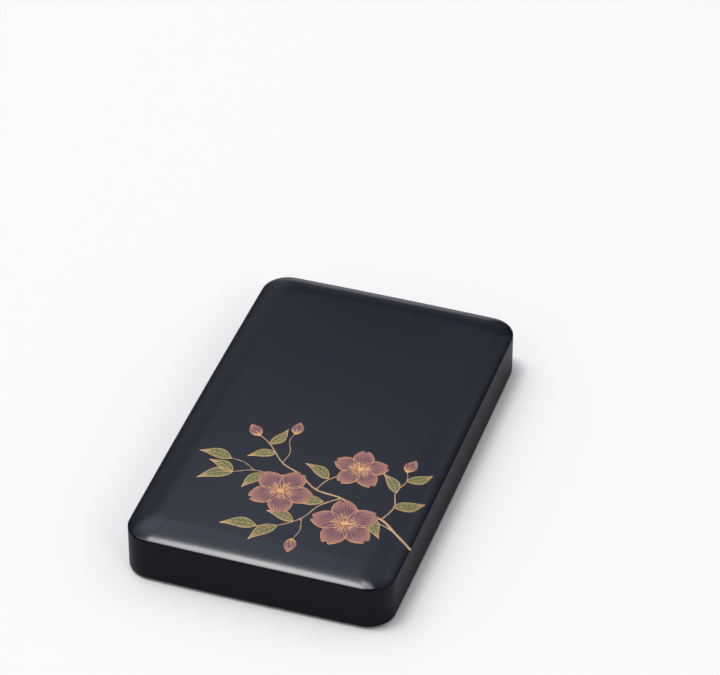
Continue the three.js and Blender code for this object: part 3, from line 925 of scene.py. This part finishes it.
# Over the shoulder, up the roll and across the crown
for step in range(shoulder_steps + 1):
    way = step / shoulder_steps
    low, high = (1 - way) ** 2 * (shoulder - shoulder_easing), 2 * way * (1 - way) * shoulder
    edge = crown_ring(shoulder_easing * way**2)
    lid_rings.append([(x, y, low + high + way**2 * z) for x, y, z in edge])
for step in range(1, roll_steps + 1):
    lid_rings.append(crown_ring(shoulder_easing + (roll_width - shoulder_easing) * step / roll_steps))
for step in range(1, crown_steps + 1):
    lid_rings.append(crown_ring(roll_width, 1 - (1 - ceiling_scales[0]) * step / crown_steps))
lid = drawn_out("lacquered_lid", lid_rings)
smooth(lid, sharp_angle, even=False)

# The sides' base colour is painted darker than the top's as painted shade, and the top's lighter blue is
# painted light. The mask that rises over the shoulder chooses between the two colours, and it also raises
# the coat from the sides' gloss to full gloss on the top.
side_gloss = 0.27
shaded_side_blue = (0.0008, 0.0009, 0.0052)
bloomed_shaded_side_blue = (0.0014, 0.0015, 0.0062)
lit_top_blue = (0.0022, 0.0042, 0.011)
bloomed_lit_top_blue = (0.0032, 0.0056, 0.014)
outer_lacquer = lacquer("outer_blue_black_lacquer", 0.17)
cloud = outer_lacquer.cloud
above = outer_lacquer.part(outer_lacquer.places(), 2)
gloss_and_painted_light = above.over((shoulder - 0.5) * mm, (shoulder + 2.9) * mm)
shaded_side_colour = outer_lacquer.blend(cloud, shaded_side_blue, bloomed_shaded_side_blue)
lit_top_colour = outer_lacquer.blend(cloud, lit_top_blue, bloomed_lit_top_blue)
outer_lacquer.set(Base_Color=outer_lacquer.blend(gloss_and_painted_light, shaded_side_colour, lit_top_colour))
outer_lacquer.set(Coat_Weight=(side_gloss + gloss_and_painted_light * (1 - side_gloss)) * (1 - cloud * 0.04))
dress(lid, outer_lacquer)
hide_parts("lid_top", "lid_sides")
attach(lid, "lid")

# The sprinkled picture on the lid
# A spray of wild cherry in thin raised lacquer: mauve petals, olive leaves, and gold lines as fine as a
# hair laid round and over them with powder. It is a common motif, laid out across the lid's front right.
chance = random.Random(7)
petal_length = 14.0
petal_half_width = 5.3
leaf_length = 17.0
leaf_half_width = 3.3
leaf_bend = 1.5
bud_length = 8.6
bud_half_width = 2.9
bud_bend = 0.5
relief = 0.1
form_depth = 0.16
petal_lift = 0.1
petal_overlaps = [0, 0.03, 0.01, 0.04, 0.02]
line_flatness = 0.3
line_sink = 0.1
bough_steps = 6


def height_on(grounds, x, y):
    """Height of the uppermost of some pieces at a place on the lid, in millimetres."""
    hits = [ground.ray_cast(Vector((x * mm, y * mm, 0.1)), Vector((0, 0, -1))) for ground in grounds]
    return max((place.z / mm for found, place, _, _ in hits if found), default=shoulder)


def petal_point(side, along):
    """A place on a petal that grows along Y, from side -1 to 1 and from its foot at 0 to its tip at 1."""
    wide = petal_half_width * sin(pi * (0.06 + 0.8 * along**0.9)) ** 0.85
    notch = 0.13 * max(0.0, 1 - abs(side) / 0.55) ** 1.5 * along**5
    curl = 0.09 * side**4 * along**3
    return wide * side, petal_length * (0.09 + 0.91 * along * (1 - notch - curl))


def leaf_point(side, along):
    """A place on a slender leaf that grows along Y to a drawn-out tip."""
    wide = leaf_half_width * sin(pi * along**0.72) ** 1.3 + 0.02
    return wide * side + leaf_bend * sin(pi * along), leaf_length * along


def bud_point(side, along):
    """A place on a closed bud that grows along Y to a point."""
    wide = bud_half_width * sin(pi * (0.1 + 0.9 * along**0.85)) ** 0.9 + 0.03
    return wide * side + bud_bend * along**2, bud_length * along


def thin_form(name, shape, columns, rows):
    """A flat form shaped from a grid, a hair thicker in the middle, and closed underneath."""
    start_clean()
    bpy.ops.mesh.primitive_grid_add(x_subdivisions=columns, y_subdivisions=rows, size=2)
    made = named(name)
    bpy.ops.object.mode_set(mode="EDIT")
    form = bmesh.from_edit_mesh(made.data)
    for corner in form.verts:
        side, along = corner.co.x, (corner.co.y + 1) / 2
        x, y = shape(side, along)
        rise = relief * (0.25 + 0.75 * (1 - side**4) * min(1, 6 * along, 6 * (1 - along) + 0.2))
        corner.co = Vector((x, y, rise)) * mm
    bmesh.update_edit_mesh(made.data)
    bpy.ops.mesh.select_all(action="SELECT")
    bpy.ops.mesh.extrude_region_move(TRANSFORM_OT_translate={"value": (0, 0, -form_depth * mm)})
    bpy.ops.mesh.select_all(action="SELECT")
    bpy.ops.mesh.normals_make_consistent()
    bpy.ops.object.mode_set(mode="OBJECT")
    return made


def placed(point, spot):
    """Where a form's point comes to lie when the form is put on a spot: x, y, its turn and its size."""
    x, y, turn, size = spot
    a, b = point[0] * size, point[1] * size
    return x + a * cos(turn) - b * sin(turn), y + a * sin(turn) + b * cos(turn)


def put_in(name, data):
    """A new object in the scene that holds a mesh, a curve, a lamp or a camera."""
    made = bpy.data.objects.new(name, data)
    bpy.context.scene.collection.objects.link(made)
    return made


def laid_copy(form, spot, lift=0.0):
    """A copy of a form with its own mesh, laid on the lid's curve."""
    made = put_in(form.name, form.data.copy())
    for corner in made.data.vertices:
        x, y = placed(corner.co.xy / mm, spot)
        corner.co = Vector((x, y, height_on([lid], x, y) + corner.co.z / mm + lift)) * mm
    return made


def joined(name, pieces):
    pick(pieces[0])
    for piece in pieces:
        piece.select_set(True)
    bpy.ops.object.join()
    return named(name)


def flowing(points):
    """More points on a smooth line through the given ones."""
    ends = [points[0], *points, points[-1]]
    line = []
    for near in zip(ends, ends[1:], ends[2:], ends[3:]):
        for step in range(bough_steps):
            t = step / bough_steps
            shares = (2 * t**2 - t - t**3, 2 - 5 * t**2 + 3 * t**3, t + 4 * t**2 - 3 * t**3, t**3 - t**2)
            x = sum(share * point[0] for share, point in zip(shares, near)) / 2
            y = sum(share * point[1] for share, point in zip(shares, near)) / 2
            line.append((x, y))
    return [*line, points[-1]]


def strokes(name, lines, grounds):
    """Raised lines of powder over some pieces. Each line is a list of x, y and half its width."""
    drawing = bpy.data.curves.new(name, "CURVE")
    drawing.dimensions = "3D"
    drawing.bevel_depth = mm
    drawing.bevel_resolution = 1
    drawing.use_fill_caps = True
    for line in lines:
        run = drawing.splines.new("POLY")
        run.points.add(len(line) - 1)
        for point, (x, y, half_width) in zip(run.points, line):
            point.co = (x * mm, y * mm, (height_on(grounds, x, y) - line_sink * half_width) * mm, 1)
            point.radius = half_width
    pick(put_in(name, drawing))
    bpy.ops.object.convert(target="MESH")
    made = bpy.context.object
    for corner in made.data.vertices:
        ground = height_on(grounds, corner.co.x / mm, corner.co.y / mm) * mm
        corner.co.z = ground + (corner.co.z - ground) * line_flatness
    return made


petal_form = thin_form("petal_form", petal_point, 12, 14)
leaf_form = thin_form("leaf_form", leaf_point, 6, 16)
bud_form = thin_form("bud_form", bud_point, 6, 12)
petals, leaves, petal_lines, leaf_lines, bough_lines = [], [], [], [], []


def petal(spot, lift):
    """A petal with a gold rim and five veins."""
    petals.append(laid_copy(petal_form, spot, lift))
    rim = [(-1, step / 10) for step in range(11)]
    rim += [(-1 + step / 5, 1) for step in range(1, 10)]
    rim += [(1, 1 - step / 10) for step in range(11)]
    petal_lines.append([
        (*placed(petal_point(side * 0.98, along), spot), 0.11 + 0.06 * along) for side, along in rim
    ])
    for side in (-0.55, -0.28, 0, 0.28, 0.55):
        reach = 0.86 - 0.35 * abs(side) + chance.uniform(-0.04, 0.04)
        vein = []
        for way in [step / 6 for step in range(7)]:
            point = petal_point(side * (0.35 + 0.65 * way), 0.12 + (reach - 0.12) * way)
            vein.append((*placed(point, spot), 0.11 * (1 - 0.7 * way)))
        petal_lines.append(vein)


def ray(x, y, angle, run):
    """A gold line outwards from a blossom's middle, from pairs of distance and half its width."""
    a, b = cos(angle), sin(angle)
    petal_lines.append([(x + a * away, y + b * away, wide) for away, wide in run])


def blossom(spot):
    """Five petals round a gold heart with its stamens."""
    x, y, turn, size = spot
    for number, overlap in enumerate(petal_overlaps):
        petal((x, y, turn + number * tau / 5, size), petal_lift + overlap)
    for number in range(17):
        angle = turn + number * tau / 17 + chance.uniform(-0.08, 0.08)
        reach = size * chance.uniform(3.4, 5.6)
        ray(x, y, angle, [(away, 0.18) for away in (0.3, reach * 0.35, reach * 0.7, reach)])
        ray(x, y, angle, [(reach, 0.2), (reach + 0.3, 0.38), (reach + 0.65, 0.18)])
    for number in range(9):
        ray(x, y, number * tau / 9, [(0.05, 0.36), (0.8, 0.36), (1.6, 0.36)])


def leaf(spot):
    """A leaf with a gold edge, eight side veins and a rib."""
    leaves.append(laid_copy(leaf_form, spot))
    for side in (-1, 1):
        leaf_lines.append([
            (*placed(leaf_point(side, step / 14), spot), 0.15 - 0.03 * step / 14) for step in range(15)
        ])
        for start in (0.2, 0.36, 0.52, 0.68):
            vein = [leaf_point(side * 0.85 * way, start + 0.14 * way) for way in (0.05, 0.35, 0.7, 1)]
            leaf_lines.append([(*placed(point, spot), 0.07) for point in vein])
    leaf_lines.append([(*placed(leaf_point(0, step / 12), spot), 0.12) for step in range(13)])


def bud(spot):
    """A closed bud of folded petals, held in a small gold cup."""
    petals.append(laid_copy(bud_form, spot, petal_lift))
    for side, wide in ((-1, 0.13), (-0.35, 0.08), (0.4, 0.08), (1, 0.13)):
        fold = [bud_point(side, 0.04 + 0.96 * step / 9) for step in range(10)]
        petal_lines.append([(*placed(point, spot), wide) for point in fold])
    for side, height in ((-1, 3.4), (0, 4.2), (1, 3.4)):
        cup = [(0, -0.6, 0.45), (side * 1.7, 0.9, 0.42), (side * 2.1, height, 0.08)]
        petal_lines.append([(*placed((x, y), spot), wide) for x, y, wide in cup])


def bough(points, start_width, end_width):
    """A bough or twig that thins towards its end, with a slightly uneven width."""
    line = flowing(points)
    last = len(line) - 1
    bough_lines.append([
        (x, y, start_width + (end_width - start_width) * number / last + 0.05 * sin(number * 1.7))
        for number, (x, y) in enumerate(line)
    ])


main_bough = [(64.8, -71.5), (56, -66.5), (47, -60), (36, -58), (25, -52)]
main_bough += [(12, -50), (1, -42), (-9, -37), (-19, -26), (-26, -21)]
bough(main_bough, 0.75, 0.28)
bough([(58, -67.6), (50, -64), (41, -61.5), (33, -58.5), (26, -54.6)], 0.3, 0.24)
bough([(47, -60), (50, -50), (47.5, -40), (50, -31), (48, -24)], 0.42, 0.2)
bough([(25, -52), (17, -60), (12, -71), (3, -79), (-6, -82)], 0.42, 0.2)
bough([(12, -71), (14, -79), (12.5, -86)], 0.28, 0.18)
bough([(12, -50), (15, -42), (22, -34), (24, -27)], 0.38, 0.2)
bough([(1, -42), (-8, -46), (-20, -46), (-29, -50)], 0.34, 0.18)
bough([(-9, -37), (-8, -29), (-11, -21), (-10, -15)], 0.3, 0.16)
bough([(-20, -46), (-26, -42), (-33, -41)], 0.24, 0.15)

for spot in ((32, -68, 0.35, 1.14), (-3, -56, 0.9, 1.1), (27, -30, 0.1, 0.94)):
    blossom(spot)
for spot in ((-10, -15, 0.1, 0.95), (-26, -21, 0.85, 1.0), (12.5, -86, 3.3, 0.95), (48, -24, -0.15, 1.0)):
    bud(spot)
for spot in (
    (49.5, -50, -0.95, 0.92), (48, -40, 0.75, 0.86), (50, -31, -0.8, 0.8),
    (44, -60.5, 3.6, 0.8), (18, -57, 1.9, 0.95), (9, -74, 1.35, 0.85),
    (3, -79, 2.5, 0.95), (-6, -82, 1.75, 1.0), (15, -41, 1.1, 0.9),
    (20, -36, -1.3, 0.85), (-14, -46.5, 2.6, 0.86), (-29, -50, 2.1, 1.0),
    (-29, -50, 1.2, 0.85), (-33, -41, 1.5, 0.95), (-14, -31.5, 2.0, 0.8),
    (-19, -26, -0.35, 0.8),
):
    leaf(spot)
for form in (petal_form, leaf_form, bud_form):
    bpy.data.objects.remove(form)


def brushed_paint(name, streaks, streak_length):
    """Coloured lacquer laid on with a brush, whose marks run along the petal or leaf."""
    paint = Paint(name)
    paint.marks = paint.noise(streaks, 3, (1, streak_length, 1), "UV")
    on_form = paint.node("ShaderNodeTexCoord", output="UV")
    paint.side = abs(paint.part(on_form, 0) - 0.5) * 2
    paint.along = paint.part(on_form, 1)
    paint.set(Roughness=0.42 + paint.marks * 0.15)
    paint.bump(paint.marks + paint.noise(2500, 2) * 0.6, 0.00003)
    return paint


deep_petal = (0.12, 0.045, 0.077)
pale_petal = (0.325, 0.14, 0.102)
petal_streak = (0.43, 0.225, 0.155)
mauve = brushed_paint("mauve_petals", 14, 0.1)
marks = mauve.marks
pale = mauve.side ** 2 * 0.7 + mauve.along.over(0.35, 1) * 0.75 + (marks - 0.5) * 1.1
petal_colour = mauve.blend(pale.over(0.1, 0.95), deep_petal, pale_petal)
mauve.set(Base_Color=mauve.blend(marks.over(0.6, 0.8) * 0.5, petal_colour, petal_streak))

deep_leaf = (0.042, 0.082, 0.024)
pale_leaf = (0.2, 0.196, 0.076)
leaf_tip = (0.42, 0.24, 0.13)
olive = brushed_paint("olive_leaves", 9, 0.3)
pale = (olive.side * 0.6 + olive.marks * 0.7).over(0.3, 1.0)
leaf_colour = olive.blend(pale, deep_leaf, pale_leaf)
olive.set(Base_Color=olive.blend(olive.along.over(0.62, 1) * 0.8, leaf_colour, leaf_tip))


def powder(name, bright, deep, metallic):
    """Metal powder sprinkled on wet lacquer: bright grains over a deeper ground."""
    paint = Paint(name, metallic=metallic)
    grains = paint.noise(4200, 2)
    worn = paint.noise(160, 3).over(0.3, 0.72)
    paint.set(Base_Color=paint.blend(grains.over(0.42, 0.6) * 0.6 + worn * 0.4, deep, bright))
    paint.set(Roughness=0.36 + grains * 0.25)
    paint.bump(grains, 0.00004)
    return paint


gold = powder("gold_powder", (0.86, 0.5, 0.2), (0.58, 0.29, 0.12), 0.45)
copper_gold = powder("red_gold_powder", (0.6, 0.36, 0.19), (0.36, 0.2, 0.11), 0.4)

petal_layer = joined("cherry_petals", petals)
leaf_layer = joined("cherry_leaves", leaves)
fine_lines = strokes("gold_lines", petal_lines, [lid, petal_layer])
fine_lines = joined("gold_lines", [fine_lines, strokes("leaf_lines", leaf_lines, [lid, leaf_layer])])
boughs = strokes("gold_boughs", bough_lines, [lid])
for layer, paint in (
    (petal_layer, mauve),
    (leaf_layer, olive),
    (fine_lines, gold),
    (boughs, copper_gold),
):
    smooth(layer, 60, even=False)
    dress(layer, paint)
    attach(layer, "lid")

# The table, the light and the camera
# A plain white table in a pale room that is dimmer behind the box. One soft lamp high above lays the
# highlight on the front roll, two fainter ones carry it round the corners, and a fourth lights the right.
start_clean()
bpy.ops.mesh.primitive_plane_add(size=30)
table = named("table")
table_white = (0.8, 0.79, 0.772)
table_paint = Paint("white_table", roughness=0.9, Specular_IOR_Level=0.0, Base_Color=table_white)
dress(table, table_paint)
table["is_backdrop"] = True

room = bpy.data.worlds.new("room")
bpy.context.scene.world = room
room.use_nodes = True
air = Nodes(room.node_tree)
sky = room.node_tree.nodes["Background"]
direction = air.node("ShaderNodeTexCoord", output="Generated")
x, y, z = (air.part(direction, number) for number in range(3))
across_canopy = 1 - x.over(-0.32, -0.12) * 0.5 + x.over(0.1, 0.3) * 0.3 - x.over(0.35, 0.6) * 0.5
canopy = z.over(0.53, 0.76) * (1 - z.over(0.93, 0.99) * 0.6) * across_canopy * y.over(-0.15, 0.15)
high_right = x.over(0.0, 0.35) * z.over(0.4, 0.7) * (1 - y.over(0.3, 0.65)) * 0.15
far_right = x.over(0.18, 0.32) * z.over(0.3, 0.5) * y.over(0.4, 0.6) * 0.4
far_wall = z.over(0.04, 0.2) * (1 - z.over(0.5, 0.66)) * 0.1
left_wall = (0 - x).over(0.25, 0.45) * 0.16
right_wall = x.over(0.4, 0.8) * 0.3
front_card = (0 - y).over(0.05, 0.3) * x.over(-0.45, -0.3) * (1 - x.over(-0.12, 0.02)) * 0.7
front_wall = (0 - y).over(0.0, 0.5) * 0.06 + front_card
horizon = (1 - z.over(0.04, 0.07)) * 0.75
walls = far_wall + far_right + left_wall + right_wall + front_wall
wall_white = (0.97, 0.98, 1.03)
canopy_white = (0.9, 0.98, 1.17)
air.feed(sky.inputs["Color"], air.blend(canopy, wall_white, canopy_white))
air.feed(sky.inputs["Strength"], 0.08 + canopy * 1.16 + high_right + walls + horizon)

lamp_distance = 12


def soft_lamp(name, towards, width, depth, radiance):
    """A flat lamp that faces the box, with its size as seen from there in degrees."""
    light = bpy.data.lights.new(name, "AREA")
    light.shape = "RECTANGLE"
    light.size = 2 * lamp_distance * tan(radians(width / 2))
    light.size_y = 2 * lamp_distance * tan(radians(depth / 2))
    light.energy = radiance * pi * light.size * light.size_y
    lamp = put_in(name, light)
    away = Vector(towards).normalized()
    side = (Vector((1, 0, 0)) - away.x * away).normalized()
    lamp.location = away * lamp_distance
    lamp.rotation_euler = Matrix((side, away.cross(side), away)).transposed().to_euler()
    lamp.visible_camera = False


soft_lamp("high_lamp", (-0.22, -0.05, 0.97), width=14, depth=10, radiance=29.5)
soft_lamp("left_wing", (-0.5, -0.03, 0.86), width=16, depth=6, radiance=11)
soft_lamp("right_wing", (-0.03, 0.09, 0.99), width=13, depth=8, radiance=14)
soft_lamp("right_lamp", (0.64, -0.45, 0.62), width=14, depth=14, radiance=5)

view_heading = radians(18.40)
view_height = radians(38.42)
view_distance = 1801.4
aim_rightwards = 15.94
aim_upwards = 59.38
camera = bpy.data.cameras.new("camera")
camera.sensor_width = 36
camera.lens = 188.55
viewer = put_in("camera", camera)
back = Vector((
    sin(view_heading) * cos(view_height),
    -cos(view_heading) * cos(view_height),
    sin(view_height),
))
right = Vector((cos(view_heading), sin(view_heading), 0))
up = back.cross(right)
aim = Vector((0, 0, lid_foot)) + aim_rightwards * right + aim_upwards * up
viewer.location = (aim + view_distance * back) * mm
viewer.rotation_euler = Matrix((right, up, back)).transposed().to_euler()
bpy.context.scene.camera = viewer
bpy.context.scene.view_settings.view_transform = "Standard"

low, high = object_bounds()
